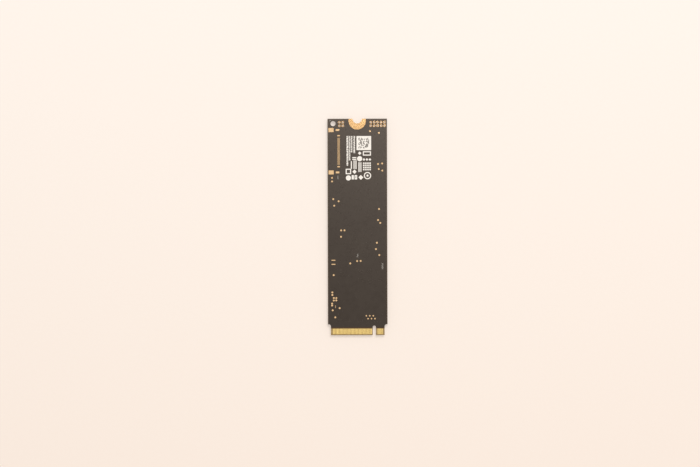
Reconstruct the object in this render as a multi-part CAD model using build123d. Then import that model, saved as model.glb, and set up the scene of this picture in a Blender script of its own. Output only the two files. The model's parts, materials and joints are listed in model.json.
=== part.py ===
from build123d import *
import math
import os

os.makedirs("parts", exist_ok=True)

# A bare solid-state drive module, 22 by 80 mm with one key slot, lying on its component side.
# Millimetres. X runs across the board, +Y towards the screw notch, +Z up, out of the board's plain back.
# The origin is under the middle of the board, on the surface that the three tall packages rest on.

# Circuit board
board_length = 80.0
board_width = 22.0
board_thickness = 0.8
mask_thickness = 0.04
shoulder_width = 1.075
shoulder_fillet = 0.8
shoulder_flat = 0.1
tongue_length = 4.0
tip_bevel_length = 0.35
tip_bevel_depth = 0.15
key_slot_x = 6.125
key_slot_width = 1.2
key_slot_depth = 3.5

# Screw notch, with a bare gold land round it on each face
notch_radius = 1.75
land_radius = 3.2
land_centre_inset = 0.8

# Bare copper: each pad stands in a window of the mask
pad_thickness = 0.03
window_gap = 0.06
seat_clearance = 0.01

# Edge contacts
contact_pitch = 0.5
contact_width = 0.35
contact_tip_gap = 0.35
contact_length = 2.05
contact_edge_gap = 0.3
mask_edge_gap = 0.55

# Plated holes of two pin headers, and the tooling hole beside them
header_pitch = 1.27
header_rows = 2
header_hole_diameter = 0.6
header_barrel_wall = 0.05
header_land_diameter = 1.0
header_end_inset = 1.95
right_header_columns = 5
right_header_edge_inset = 0.93
left_header_columns = 2
left_header_edge_inset = 4.4
tooling_hole_diameter = 1.9
tooling_hole_edge_inset = 2.05
tooling_hole_end_inset = 1.77

# Pads of a fine connector that is not fitted, placed from the left edge and the notch end
connector_end_inset = 12.0
anchor_pad_length = 1.93
anchor_pad_width = 1.5
anchor_pad_edge_inset = 1.31
anchor_pad_half_span = 7.84
side_pad_length = 1.33
side_pad_width = 0.7
side_pad_edge_inset = 3.68
fine_pad_length = 0.95
fine_pad_width = 0.2
fine_pad_edge_inset = 4.1
fine_pad_pitch = 0.4
fine_pad_count = 25
end_pad_width = 0.5
end_pad_half_span = 5.73

# Round test pads. A place is (inset from the named edge, distance from the named end),
# or the distance from the board's middle where no end is named.
test_pad_diameter = 0.7
left_notch_end_pads = [(1.63, 21.85), (1.63, 23.17)]
right_notch_end_pads = [(6.31, 4.61), (3.02, 5.25), (3.33, 16.77), (1.83, 16.57), (3.08, 18.63), (1.77, 19.2)]
left_edge_pads = [
    (2.07, 10.28), (4.04, 9.49), (2.41, 7.87), (4.94, -1.28), (6.19, -1.27), (4.89, -3.63), (2.15, -17.81),
]
right_edge_pads = [(3.01, 6.6), (3.39, 2.51), (2.58, 1.46), (3.84, -5.89), (4.19, -8.22), (2.96, -10.44)]
middle_pads = [(-0.17, -12.63), (1.12, -12.59), (-2.71, -13.5)]
tip_end_pads = [
    (1.63, 15.79), (1.64, 14.84), (2.17, 13.73), (3.1, 13.7), (2.17, 12.8), (3.1, 12.84),
    (1.53, 11.66), (1.52, 10.95), (4.32, 9.98), (1.75, 9.18), (2.7, 6.57),
]
small_pad_diameter = 0.56
small_pad_pitch = 1.28
small_pad_row_gap = 1.06
small_pad_columns = 3
small_pad_rows = 2
small_pad_first_x = 3.18
small_pad_tip_gap = 7.12

# Spare two-terminal part, and a short bare line near the tip
spare_pad_length = 1.45
spare_pad_width = 0.34
spare_pad_pitch = 1.5
spare_pad_edge_inset = 2.07
spare_pad_y = -13.07
bare_line_width = 0.15
bare_line_length = 1.0
bare_line_edge_inset = 2.78
bare_line_tip_gap = 10.51

# White print on the back
ink_thickness = 0.02
panel_width = 5.4
panel_height = 5.2
panel_x = 2.42
panel_end_inset = 9.02
panel_cell = 0.29
panel_cell_gap = 0.04
panel_cell_count = 12
text_dash = 0.38
text_dash_gap = 0.1
text_line_start_inset = 6.4
# (x of the line, its stroke width, its length along the board)
text_lines = [(-3.66, 0.66, 11.0), (-2.86, 0.6, 9.0), (-2.1, 0.6, 6.2), (-1.12, 0.64, 6.3)]
symbol_line = 0.38
# Plain white marks: (x, distance from the notch end, then the mark's own sizes)
ring_marks = [(3.75, 21.05, 1.35)]
disc_marks = [(3.75, 21.05, 0.4), (0.85, 14.8, 0.95), (-3.3, 21.9, 0.95)]
frame_marks = [(3.55, 12.85, 3.0, 1.6), (-3.3, 19.5, 2.0, 2.0), (-0.55, 21.65, 0.95, 1.6)]
diamond_marks = [
    (0.9, 12.75, 1.3), (2.45, 15.1, 1.0), (3.55, 15.1, 1.0), (4.65, 15.1, 1.0),
    (-1.05, 19.6, 1.6), (1.3, 21.7, 1.8),
]
bar_marks = [
    (-1.1, 14.4, 1.5, 0.4), (-1.1, 15.05, 1.5, 0.4), (-1.7, 21.65, 0.8, 1.6), (-2.2, 17.1, 0.4, 2.8),
]
stroke_marks = [(-0.85, 17.0, 1.3, 3.2), (0.95, 17.9, 1.3, 3.6)]
stroke_width = 0.26
stroke_pitch = 0.43
dot_grid_mark = (3.55, 17.65, 2.9, 2.9)
dot_size = 0.56
dot_pitch = 0.78
tick_size = (0.5, 1.25)
tick_edge_inset = 3.81
tick_end_inset = 21.7
corner_tick_size = (0.6, 0.4)
corner_tick_edge_inset = 1.0
corner_tick_end_inset = 0.7
strip_size = (0.58, 2.35)
strip_edge_inset = 1.8
strip_y = -14.52
arrow_base = 0.55
arrow_side = 1.3
arrow_place = (0.02, -10.8)

# Tall packages. All three reach the same height, so the module rests level on them.
package_height = 1.35
ball_height = 0.25
ball_diameter = 0.42
substrate_thickness = 0.26
package_edge_margin = 0.9
memory_length = 18.0
memory_width = 12.0
memory_end_inset = 6.0
memory_ball_pitch = 1.0
memory_gap = 3.0
length_besides_memories = 46.0
memory_middle_gap = 2.5
memory_end_margin = 2.2
controller_gap = 6.2
controller_size = 12.0
controller_x = 0.8
controller_ball_pitch = 0.8
controller_rim_rows = 3
controller_bare_rows = 2
dimple_diameter = 0.9
dimple_depth = 0.05
dimple_inset = 1.1

# Small leadless packages: (size along X, size along Y, height), with leads under their edges
lead_pitch = 0.5
lead_thickness = 0.18
lead_length = 0.42
lead_overhang = 0.03
lead_share = 0.5
lead_side_margin = 0.2
power_manager_size = (5.0, 5.0, 0.85)
load_switch_size = (2.0, 2.0, 0.7)
sensor_size = (1.2, 1.6, 0.58)
sensor_edge_inset = 2.0

# Power section, between the controller and the contacts
power_gap = 2.2
power_manager_edge_inset = 5.6
inductor_size = (2.5, 2.2, 1.15)
inductor_terminal = 0.22
inductor_corner = 0.25
inductor_pitch_x = 3.5
inductor_pitch_y = 3.3
inductor_rows = 2
inductor_clearance = 0.8
inductor_edge_inset = 2.9
load_switch_gap = 2.2

# Two-terminal parts: (length, width, height, length of each terminal)
large_capacitor = (2.0, 1.25, 0.95, 0.4)
small_capacitor = (1.0, 0.5, 0.5, 0.22)
resistor = (1.0, 0.5, 0.35, 0.2)
terminal_overhang = 0.012
solder_thickness = 0.04
solder_overhang = 0.14
memory_row_margin = 2.6
memory_row_pitch = 2.8
gap_row_inset = 1.9
gap_row_pitch = 2.0
gap_row_count = 6
side_column_inset = 1.7
side_column_pitch = 1.45
side_column_count = 5
power_capacitor_gap = 0.8
power_row_gap = 3.1
power_row_pitch = 2.9
power_row_count = 6
coupling_row_x = -1.5
coupling_row_gap = 2.1
coupling_pitch = 1.05
coupling_count = 12
resistor_row_gap = 2.2
resistor_pitch = 1.6
resistor_count = 7

# Crystal
crystal_size = (1.6, 2.0)
crystal_base_height = 0.38
crystal_lid_height = 0.25
crystal_lid_inset = 0.16
crystal_edge_inset = 2.0

# Planes and lines that the sizes above give
end_y = board_length / 2
tip_y = -board_length / 2
shoulder_y = tip_y + tongue_length
left_x = -board_width / 2
right_x = board_width / 2
front_z = package_height
back_z = front_z + board_thickness
window_back_z = back_z - mask_thickness
window_front_z = front_z + mask_thickness
tongue_width = board_width - 2 * shoulder_width
mask_edge_y = tip_y + contact_tip_gap + contact_length + mask_edge_gap
header_row_y = end_y - header_end_inset
connector_y = end_y - connector_end_inset
memory_step = memory_width + memory_gap
memory_count = max(1, int((board_length - length_besides_memories) / memory_step))
memory_ys = [end_y - memory_end_inset - memory_width / 2 - i * memory_step for i in range(memory_count)]
memory_low_y = memory_ys[-1] - memory_width / 2
controller_y = memory_low_y - controller_gap - controller_size / 2
power_top_y = controller_y - controller_size / 2 - power_gap
power_manager_x = left_x + power_manager_edge_inset
power_manager_y = power_top_y - power_manager_size[1] / 2
gap_middle_y = controller_y + controller_size / 2 + controller_gap / 2
switch_row_x = power_manager_x - power_manager_size[0] / 2
switch_row_y = power_manager_y - power_manager_size[1] / 2 - load_switch_gap
switch_row_pitch = large_capacitor[1] + power_capacitor_gap
coupling_row_y = shoulder_y + coupling_row_gap


def save(name, solids):
    export_step(Compound(solids), f"parts/{name}.step")


def standing(shape, x, y, low_z, height):
    # A flat shape made solid, with its underside at low_z
    return Pos(x, y, low_z) * extrude(shape, amount=height)


def block(x, y, low_z, size_x, size_y, height):
    return Pos(x, y, low_z + height / 2) * Box(size_x, size_y, height)


def disc(x, y, low_z, diameter, height):
    return Pos(x, y, low_z + height / 2) * Cylinder(diameter / 2, height)


def spaced(count, pitch):
    # Offsets of a centred row
    return [(i - (count - 1) / 2) * pitch for i in range(count)]


def fitting_count(room, pitch):
    return max(1, int(room / pitch + 1e-6) + 1)


# Places of the pads

def test_pad_places():
    places = [(left_x + inset, end_y - along) for inset, along in left_notch_end_pads]
    places += [(right_x - inset, end_y - along) for inset, along in right_notch_end_pads]
    places += [(left_x + inset, along) for inset, along in left_edge_pads]
    places += [(right_x - inset, along) for inset, along in right_edge_pads]
    places += middle_pads
    places += [(left_x + inset, tip_y + along) for inset, along in tip_end_pads]
    return places


def small_pad_places():
    places = []
    for row in range(small_pad_rows):
        for column in range(small_pad_columns):
            x = small_pad_first_x + (column + row / 2) * small_pad_pitch
            places.append((x, tip_y + small_pad_tip_gap - row * small_pad_row_gap))
    return places


def header_places(columns, first_x, step):
    ys = [header_row_y + dy for dy in spaced(header_rows, header_pitch)]
    return [(first_x + step * i * header_pitch, y) for i in range(columns) for y in ys]


def right_header_places():
    return header_places(right_header_columns, right_x - right_header_edge_inset, -1)


def left_header_places():
    return header_places(left_header_columns, left_x + left_header_edge_inset, 1)


def connector_pads():
    # (x, y, size along X, size along Y) of the anchor, side and fine pads
    anchors, sides, fine = [], [], []
    for side in (-1, 1):
        y = connector_y + side * anchor_pad_half_span
        anchors.append((left_x + anchor_pad_edge_inset, y, anchor_pad_length, anchor_pad_width))
        sides.append((left_x + side_pad_edge_inset, y, side_pad_length, side_pad_width))
        y = connector_y + side * end_pad_half_span
        fine.append((left_x + fine_pad_edge_inset, y, fine_pad_length, end_pad_width))
    for dy in spaced(fine_pad_count, fine_pad_pitch):
        fine.append((left_x + fine_pad_edge_inset, connector_y + dy, fine_pad_length, fine_pad_width))
    return anchors, sides, fine


def spare_pads():
    x = left_x + spare_pad_edge_inset
    pads = [(x, spare_pad_y + dy, spare_pad_length, spare_pad_width) for dy in spaced(2, spare_pad_pitch)]
    line_y = tip_y + bare_line_tip_gap
    pads.append((left_x + bare_line_edge_inset, line_y, bare_line_width, bare_line_length))
    return pads


def contact_xs(offset):
    # Every place on the pitch that leaves enough laminate at the tongue's sides and at the key slot
    reach = int(tongue_width / 2 / contact_pitch) + 1
    xs = []
    for i in range(-reach, reach + 1):
        x = (i + offset) * contact_pitch
        side_gap = tongue_width / 2 - abs(x) - contact_width / 2
        slot_gap = abs(x - key_slot_x) - key_slot_width / 2 - contact_width / 2
        if side_gap >= contact_edge_gap and slot_gap >= contact_edge_gap:
            xs.append(x)
    return xs


# Circuit board

def board_outline():
    main = Pos(0, tongue_length / 2) * Rectangle(board_width, board_length - tongue_length)
    tongue = Pos(0, tip_y + tongue_length / 2) * Rectangle(tongue_width, tongue_length)
    shape = main + tongue
    inner = [v for v in shape.vertices() if abs(v.Y - shoulder_y) < 0.01 and abs(v.X) < right_x - 0.01]
    shape = fillet(inner, min(shoulder_fillet, shoulder_width - shoulder_flat))
    slot_end_y = tip_y + key_slot_depth - key_slot_width / 2
    slot = Pos(key_slot_x, (tip_y + slot_end_y) / 2) * Rectangle(key_slot_width, slot_end_y - tip_y)
    slot += Pos(key_slot_x, slot_end_y) * Circle(key_slot_width / 2)
    notch = Pos(0, end_y) * Circle(notch_radius)
    tooling_x = left_x + tooling_hole_edge_inset
    tooling = Pos(tooling_x, end_y - tooling_hole_end_inset) * Circle(tooling_hole_diameter / 2)
    return shape - slot - notch - tooling


def tip_bevel(face_z, inward):
    # A wedge along the tip, from one face of the laminate inwards
    corners = [
        (tip_y, face_z),
        (tip_y + tip_bevel_length, face_z),
        (tip_y, face_z + inward * tip_bevel_depth),
    ]
    wedge = make_face(Polyline(*corners, close=True))
    return extrude(Plane.YZ * wedge, amount=board_width / 2, both=True)


def land_outline(extra):
    # The ring round the screw notch, whose straight sides run out to the board's end
    radius = land_radius + extra
    depth = land_centre_inset
    land = Pos(0, end_y - depth) * Circle(radius)
    land += Pos(0, end_y - depth / 2) * Rectangle(2 * radius, depth)
    past_end = Pos(0, end_y + radius) * Rectangle(4 * radius, 2 * radius)
    return land - past_end


def circuit_board():
    board = standing(board_outline(), 0, 0, front_z, board_thickness)
    tools = []
    grown = 2 * window_gap
    anchors, sides, fine = connector_pads()
    for x, y, size_x, size_y in anchors + sides + fine + spare_pads():
        tools.append(block(x, y, window_back_z, size_x + grown, size_y + grown, mask_thickness))
    for x, y in test_pad_places():
        tools.append(disc(x, y, window_back_z, test_pad_diameter + grown, mask_thickness))
    for x, y in small_pad_places():
        tools.append(disc(x, y, window_back_z, small_pad_diameter + grown, mask_thickness))
    for x, y in right_header_places() + left_header_places():
        drilling = header_hole_diameter + 2 * (header_barrel_wall + seat_clearance)
        tools.append(disc(x, y, front_z, drilling, board_thickness))
        for z in (front_z, window_back_z):
            tools.append(disc(x, y, z, header_land_diameter + grown, mask_thickness))
    for z in (front_z, window_back_z):
        tools.append(standing(land_outline(window_gap), 0, 0, z, mask_thickness))
        bare_length = mask_edge_y - tip_y
        tools.append(block(0, tip_y + bare_length / 2, z, board_width, bare_length, mask_thickness))
    tools.append(tip_bevel(window_back_z, -1))
    tools.append(tip_bevel(window_front_z, 1))
    return board.cut(*tools).solids()


# Copper

def screw_land(low_z):
    land = land_outline(0) - Pos(0, end_y) * Circle(notch_radius)
    return [standing(land, 0, 0, low_z, pad_thickness)]


def header_barrels(places):
    low_z = window_front_z - pad_thickness
    hole_r = header_hole_diameter / 2
    wall_r = hole_r + header_barrel_wall
    land_r = header_land_diameter / 2
    # Half section of one barrel: a tube with a flange on each face of the laminate
    section = Polyline(
        (hole_r, low_z), (land_r, low_z), (land_r, window_front_z), (wall_r, window_front_z),
        (wall_r, window_back_z), (land_r, window_back_z), (land_r, window_back_z + pad_thickness),
        (hole_r, window_back_z + pad_thickness), close=True,
    )
    barrel = revolve(Plane.XZ * make_face(section), Axis.Z)
    return [Pos(x, y, 0) * barrel for x, y in places]


def flat_pads(pads):
    return [block(x, y, window_back_z, size_x, size_y, pad_thickness) for x, y, size_x, size_y in pads]


def round_pads(places, diameter):
    return [disc(x, y, window_back_z, diameter, pad_thickness) for x, y in places]


def edge_contacts(offset, low_z):
    y = tip_y + contact_tip_gap + contact_length / 2
    return [block(x, y, low_z, contact_width, contact_length, pad_thickness) for x in contact_xs(offset)]


# White print

def printed_panel():
    # A white square with a loose pattern of small square windows
    sheet = Rectangle(panel_width, panel_height)
    step = panel_cell + panel_cell_gap
    for i, dx in enumerate(spaced(panel_cell_count, step)):
        for j, dy in enumerate(spaced(panel_cell_count, step)):
            # A sum of the cell's column and row decides which cells are cut
            if (i**3 + 2 * j**3 + i * j + j) % 13 in (0, 2, 3, 7, 8, 11):
                sheet -= Pos(dx, dy) * Rectangle(panel_cell, panel_cell)
    return standing(sheet, panel_x, end_y - panel_end_inset, back_z, ink_thickness).solids()


def printed_text_lines():
    # Rows of plain dashes in place of small words
    dashes = []
    for number, (x, width, length) in enumerate(text_lines):
        along = 0.0
        index = 0
        while along < length:
            dash = text_dash * (1 + (index * 3 + number * 2) % 4 / 2)
            dash = min(dash, length - along)
            y = end_y - text_line_start_inset - along - dash / 2
            if dash > text_dash_gap:
                dashes.append(block(x, y, back_z, width, dash, ink_thickness))
            along += dash + text_dash_gap
            index += 1
    return dashes


def diamond(size):
    return Rot(0, 0, 45) * Rectangle(size / math.sqrt(2), size / math.sqrt(2))


def ring(outer_radius):
    return Circle(outer_radius) - Circle(outer_radius - symbol_line)


def frame_shape(width, height):
    return Rectangle(width, height) - Rectangle(width - 2 * symbol_line, height - 2 * symbol_line)


def stroke_row(width, height):
    strokes = spaced(fitting_count(width - stroke_width, stroke_pitch), stroke_pitch)
    return [Pos(dx, 0) * Rectangle(stroke_width, height) for dx in strokes]


def dot_grid(width, height):
    across = spaced(fitting_count(width - dot_size, dot_pitch), dot_pitch)
    along = spaced(fitting_count(height - dot_size, dot_pitch), dot_pitch)
    return [Pos(dx, dy) * Rectangle(dot_size, dot_size) for dx in across for dy in along]


def printed_symbols():
    kinds = [
        (ring_marks, lambda r: [ring(r)]),
        (disc_marks, lambda r: [Circle(r)]),
        (frame_marks, lambda w, h: [frame_shape(w, h)]),
        (diamond_marks, lambda size: [diamond(size)]),
        (bar_marks, lambda w, h: [Rectangle(w, h)]),
        (stroke_marks, stroke_row),
        ([dot_grid_mark], dot_grid),
    ]
    solids = []
    for marks, draw in kinds:
        for x, inset, *sizes in marks:
            solids += [standing(shape, x, end_y - inset, back_z, ink_thickness) for shape in draw(*sizes)]
    return solids


def print_ticks():
    tick_x = left_x + tick_edge_inset
    corner_x = left_x + corner_tick_edge_inset
    corner_y = end_y - corner_tick_end_inset
    strip_x = right_x - strip_edge_inset
    arrow = Triangle(a=arrow_base, b=arrow_side, c=arrow_side)
    return [
        standing(Rectangle(*tick_size), tick_x, end_y - tick_end_inset, back_z, ink_thickness),
        standing(Rectangle(*corner_tick_size), corner_x, corner_y, back_z, ink_thickness),
        standing(Rectangle(*strip_size), strip_x, strip_y, back_z, ink_thickness),
        standing(arrow, arrow_place[0], arrow_place[1], back_z, ink_thickness),
    ]


# Component side: every part hangs under the board's component face

def hung(x, y, top_z, size_x, size_y, height):
    return block(x, y, top_z - height, size_x, size_y, height)


def ball_field(x, y, places):
    return [disc(x + dx, y + dy, front_z - ball_height, ball_diameter, ball_height) for dx, dy in places]


def memory_ball_places():
    # Two blocks of balls with a bare strip between them
    columns = fitting_count(memory_length / 2 - memory_middle_gap / 2 - memory_end_margin, memory_ball_pitch)
    rows = fitting_count(memory_width - 2 * package_edge_margin, memory_ball_pitch)
    places = []
    for side in (-1, 1):
        for i in range(columns):
            dx = side * (memory_middle_gap / 2 + i * memory_ball_pitch)
            places += [(dx, dy) for dy in spaced(rows, memory_ball_pitch)]
    return places


def controller_ball_places():
    # A ring of rows round the rim, and a small block in the middle
    count = fitting_count(controller_size - 2 * package_edge_margin, controller_ball_pitch)
    offsets = spaced(count, controller_ball_pitch)
    places = []
    for i, dx in enumerate(offsets):
        for j, dy in enumerate(offsets):
            rim = min(i, j, count - 1 - i, count - 1 - j)
            if rim < controller_rim_rows or rim >= controller_rim_rows + controller_bare_rows:
                places.append((dx, dy))
    return places


def tall_package(x, y, size_x, size_y, ball_places):
    # (mould, substrate, balls) of one package that reaches down to the resting plane
    substrate_top = front_z - ball_height
    mould_top = substrate_top - substrate_thickness
    substrate = hung(x, y, substrate_top, size_x, size_y, substrate_thickness)
    mould = hung(x, y, mould_top, size_x, size_y, mould_top)
    dimple_x = x - size_x / 2 + dimple_inset
    dimple_y = y + size_y / 2 - dimple_inset
    mould -= disc(dimple_x, dimple_y, 0, dimple_diameter, dimple_depth)
    return mould.solids(), [substrate], ball_field(x, y, ball_places)


def leadless_package(x, y, sizes, all_round):
    # (body, leads) of a flat package whose leads lie under its edges
    size_x, size_y, height = sizes
    pitch = lead_pitch
    side_margin = lead_side_margin + (lead_length if all_round else 0)
    count = fitting_count(size_y - 2 * side_margin, pitch)
    body = hung(x, y, front_z - lead_thickness, size_x, size_y, height - lead_thickness)
    low_z = front_z - lead_thickness
    reach = lead_length / 2 - lead_overhang
    leads = []
    for side in (-1, 1):
        for along in spaced(count, pitch):
            lead_x = x + side * (size_x / 2 - reach)
            leads.append(block(lead_x, y + along, low_z, lead_length, lead_share * pitch, lead_thickness))
            if all_round:
                lead_y = y + side * (size_y / 2 - reach)
                leads.append(block(x + along, lead_y, low_z, lead_share * pitch, lead_length, lead_thickness))
    if all_round:
        core = size_x - 4 * lead_length
        leads.append(block(x, y, low_z, core, core, lead_thickness))
    return [body], leads


def chip(x, y, sizes, along_x):
    # (body, two terminals, two solder slabs) of a two-terminal part
    length, width, height, terminal = sizes
    top_z = front_z - solder_thickness
    wide = width + 2 * terminal_overhang
    solder_wide = width + solder_overhang
    turn = Rot(0, 0, 0 if along_x else 90)
    place = Pos(x, y, 0) * turn
    body = place * hung(0, 0, top_z - terminal_overhang, length - 2 * terminal, width, height)
    terminals, solder = [], []
    for side in (-1, 1):
        end_x = side * (length - terminal) / 2
        cap = hung(end_x, 0, top_z, terminal, wide, height + 2 * terminal_overhang)
        terminals.append(place * cap)
        slab_x = end_x + side * solder_overhang / 2
        slab_length = terminal + solder_overhang
        solder.append(place * hung(slab_x, 0, front_z, slab_length, solder_wide, solder_thickness))
    return body, terminals, solder


def chips(places, sizes):
    bodies, terminals, solder = [], [], []
    for x, y, along_x in places:
        body, ends, slabs = chip(x, y, sizes, along_x)
        bodies.append(body)
        terminals += ends
        solder += slabs
    return bodies, terminals, solder


def inductor_places():
    # As many columns as fit between the power manager and the right edge
    first_x = right_x - inductor_edge_inset
    last_x = power_manager_x + power_manager_size[0] / 2 + inductor_clearance + inductor_size[0] / 2
    inductor_columns = fitting_count(first_x - last_x, inductor_pitch_x)
    first_y = power_top_y - inductor_size[1] / 2
    places = []
    for row in range(inductor_rows):
        for column in range(inductor_columns):
            places.append((first_x - column * inductor_pitch_x, first_y - row * inductor_pitch_y))
    return places


def inductors():
    size_x, size_y, height = inductor_size
    top_z = front_z - solder_thickness
    cores, terminals, solder = [], [], []
    for x, y in inductor_places():
        core = hung(x, y, top_z, size_x - 2 * inductor_terminal, size_y, height)
        cores.append(fillet(core.edges().group_by(Axis.Z)[0].filter_by(Axis.X), inductor_corner / 2))
        for side in (-1, 1):
            end_x = x + side * (size_x - inductor_terminal) / 2
            terminals.append(hung(end_x, y, top_z, inductor_terminal, size_y, height - inductor_corner))
            slab_x = end_x + side * solder_overhang / 2
            slab_length = inductor_terminal + solder_overhang
            solder.append(hung(slab_x, y, front_z, slab_length, size_y, solder_thickness))
    return cores, terminals, solder


def large_capacitor_places():
    # A row between each two memories
    count = fitting_count(board_width - 2 * memory_row_margin, memory_row_pitch)
    places = []
    for low_y in memory_ys[1:]:
        between_y = low_y + memory_step / 2
        places += [(dx, between_y, True) for dx in spaced(count, memory_row_pitch)]
    # Two beside the load switch, and a row below it
    places += [(switch_row_x + (i + 0.5) * switch_row_pitch, switch_row_y, False) for i in range(2)]
    row_y = switch_row_y - power_row_gap
    places += [(dx, row_y, True) for dx in spaced(power_row_count, power_row_pitch)]
    return places


def small_capacitor_places():
    # A column on each side of the controller
    places = []
    for side in (-1, 1):
        x = controller_x + side * (controller_size / 2 + side_column_inset)
        places += [(x, controller_y + dy, True) for dy in spaced(side_column_count, side_column_pitch)]
    # A row above the controller
    gap_y = controller_y + controller_size / 2 + gap_row_inset
    places += [(controller_x + dx, gap_y, False) for dx in spaced(gap_row_count, gap_row_pitch)]
    # The coupling row just above the edge contacts
    places += [(coupling_row_x + dx, coupling_row_y, False) for dx in spaced(coupling_count, coupling_pitch)]
    return places


def resistor_places():
    # A row under the last memory, and one above the coupling row
    gap_y = memory_low_y - gap_row_inset
    places = [(controller_x + dx, gap_y, True) for dx in spaced(gap_row_count, gap_row_pitch)]
    row_y = coupling_row_y + resistor_row_gap
    places += [(coupling_row_x + dx, row_y, True) for dx in spaced(resistor_count, resistor_pitch)]
    return places


def crystal():
    x = left_x + crystal_edge_inset
    y = gap_middle_y
    base = hung(x, y, front_z, *crystal_size, crystal_base_height)
    lid_x = crystal_size[0] - 2 * crystal_lid_inset
    lid_y = crystal_size[1] - 2 * crystal_lid_inset
    lid = hung(x, y, front_z - crystal_base_height, lid_x, lid_y, crystal_lid_height)
    return [base], [fillet(lid.edges().filter_by(Axis.Z), crystal_lid_inset)]


def write_back_side():
    anchors, sides, fine = connector_pads()
    save("circuit_board", circuit_board())
    save("screw_land_back", screw_land(window_back_z))
    save("screw_land_front", screw_land(window_front_z - pad_thickness))
    save("edge_contacts_back", edge_contacts(0, window_back_z))
    save("edge_contacts_front", edge_contacts(0.5, window_front_z - pad_thickness))
    save("header_barrels_ten", header_barrels(right_header_places()))
    save("header_barrels_four", header_barrels(left_header_places()))
    save("connector_fine_pads", flat_pads(fine))
    save("connector_anchor_pads", flat_pads(anchors))
    save("connector_side_pads", flat_pads(sides))
    save("test_pads", round_pads(test_pad_places(), test_pad_diameter))
    save("staggered_test_pads", round_pads(small_pad_places(), small_pad_diameter))
    save("spare_part_pads", flat_pads(spare_pads()))
    save("printed_panel", printed_panel())
    save("printed_text_lines", printed_text_lines())
    save("printed_symbols", printed_symbols())
    save("print_ticks", print_ticks())


def write_packages():
    memory_balls = memory_ball_places()
    controller_balls = controller_ball_places()
    size = controller_size
    packages = {"controller": (controller_x, controller_y, size, size, controller_balls)}
    for i, y in enumerate(memory_ys):
        packages[f"memory_{i + 1}"] = (0, y, memory_length, memory_width, memory_balls)
    for name, spec in packages.items():
        mould, substrate, balls = tall_package(*spec)
        save(f"{name}_mould", mould)
        save(f"{name}_substrate", substrate)
        save(f"{name}_balls", balls)
    switch_x = switch_row_x + 2 * switch_row_pitch + load_switch_size[0] / 2
    sensor_x = right_x - sensor_edge_inset
    small = {
        "power_manager": (power_manager_x, power_manager_y, power_manager_size, True),
        "load_switch": (switch_x, switch_row_y, load_switch_size, False),
        "temperature_sensor": (sensor_x, gap_middle_y, sensor_size, False),
    }
    for name, spec in small.items():
        body, leads = leadless_package(*spec)
        save(f"{name}_body", body)
        save(f"{name}_leads", leads)


def write_small_parts():
    solder = []
    groups = {
        "large_capacitor": (large_capacitor_places(), large_capacitor),
        "small_capacitor": (small_capacitor_places(), small_capacitor),
        "resistor": (resistor_places(), resistor),
    }
    for name, (places, sizes) in groups.items():
        bodies, terminals, slabs = chips(places, sizes)
        save(f"{name}_bodies", bodies)
        save(f"{name}_terminals", terminals)
        solder += slabs
    cores, terminals, slabs = inductors()
    save("inductor_cores", cores)
    save("inductor_terminals", terminals)
    save("solder_joints", solder + slabs)
    base, lid = crystal()
    save("crystal_base", base)
    save("crystal_lid", lid)


write_back_side()
write_packages()
write_small_parts()
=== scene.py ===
import bmesh
import bpy
import json
import math
import random
from mathutils import Matrix, Vector


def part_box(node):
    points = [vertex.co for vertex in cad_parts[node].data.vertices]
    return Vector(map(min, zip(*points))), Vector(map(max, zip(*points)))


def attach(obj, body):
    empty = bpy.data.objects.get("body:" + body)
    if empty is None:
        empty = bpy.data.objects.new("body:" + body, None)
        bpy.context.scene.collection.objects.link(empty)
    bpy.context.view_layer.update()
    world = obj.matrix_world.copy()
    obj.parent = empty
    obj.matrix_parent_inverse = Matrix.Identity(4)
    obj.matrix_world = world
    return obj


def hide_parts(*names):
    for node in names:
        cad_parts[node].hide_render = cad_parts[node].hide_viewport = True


# A bare drive module lying on its component side on a pale floor, seen from straight above.
# Metres. X runs across the board, +Y towards the screw notch, +Z out of the plain back.

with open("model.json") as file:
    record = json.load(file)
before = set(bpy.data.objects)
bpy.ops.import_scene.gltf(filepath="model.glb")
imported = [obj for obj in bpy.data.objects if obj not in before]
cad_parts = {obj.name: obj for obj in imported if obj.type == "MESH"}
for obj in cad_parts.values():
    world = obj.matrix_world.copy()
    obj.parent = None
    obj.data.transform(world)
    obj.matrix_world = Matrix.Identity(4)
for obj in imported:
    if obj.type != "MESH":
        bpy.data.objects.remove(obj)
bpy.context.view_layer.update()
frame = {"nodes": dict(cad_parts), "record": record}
mm = 0.001
boardLow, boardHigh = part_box("circuit_board")
backZ = boardHigh.z
frontZ = boardLow.z
padDepth = 0.04 * mm
windowBackZ = backZ - padDepth
windowFrontZ = frontZ + padDepth
middleZ = (backZ + frontZ) / 2
mergeReach = 1e-7  # vertices closer than this are one

for node in frame["nodes"].values():
    node.data.materials.clear()
for unused in list(bpy.data.materials):
    bpy.data.materials.remove(unused)


# Node helpers

def put(tree, kind, feeds=None, **settings):
    node = tree.nodes.new(kind)
    for key, value in settings.items():
        setattr(node, key, value)
    for key, value in (feeds or {}).items():
        if isinstance(value, bpy.types.NodeSocket):
            tree.links.new(value, node.inputs[key])
        else:
            node.inputs[key].default_value = value
    return node


def out(tree, kind, feeds=None, **settings):
    # The first output of a new node
    return put(tree, kind, feeds, **settings).outputs[0]


def calc(tree, operation, a, b=0.5, c=0.5):
    return out(tree, "ShaderNodeMath", {0: a, 1: b, 2: c}, operation=operation)


def mixColour(tree, factor, a, b):
    return put(tree, "ShaderNodeMix", {0: factor, 6: a, 7: b}, data_type="RGBA").outputs[2]


def mixFloat(tree, factor, a, b):
    return out(tree, "ShaderNodeMix", {0: factor, 2: a, 3: b}, data_type="FLOAT")


def spread(tree, value, low, high, toLow=0.0, toHigh=1.0):
    feeds = {0: value, 1: low, 2: high, 3: toLow, 4: toHigh}
    return out(tree, "ShaderNodeMapRange", feeds, clamp=True)


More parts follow.
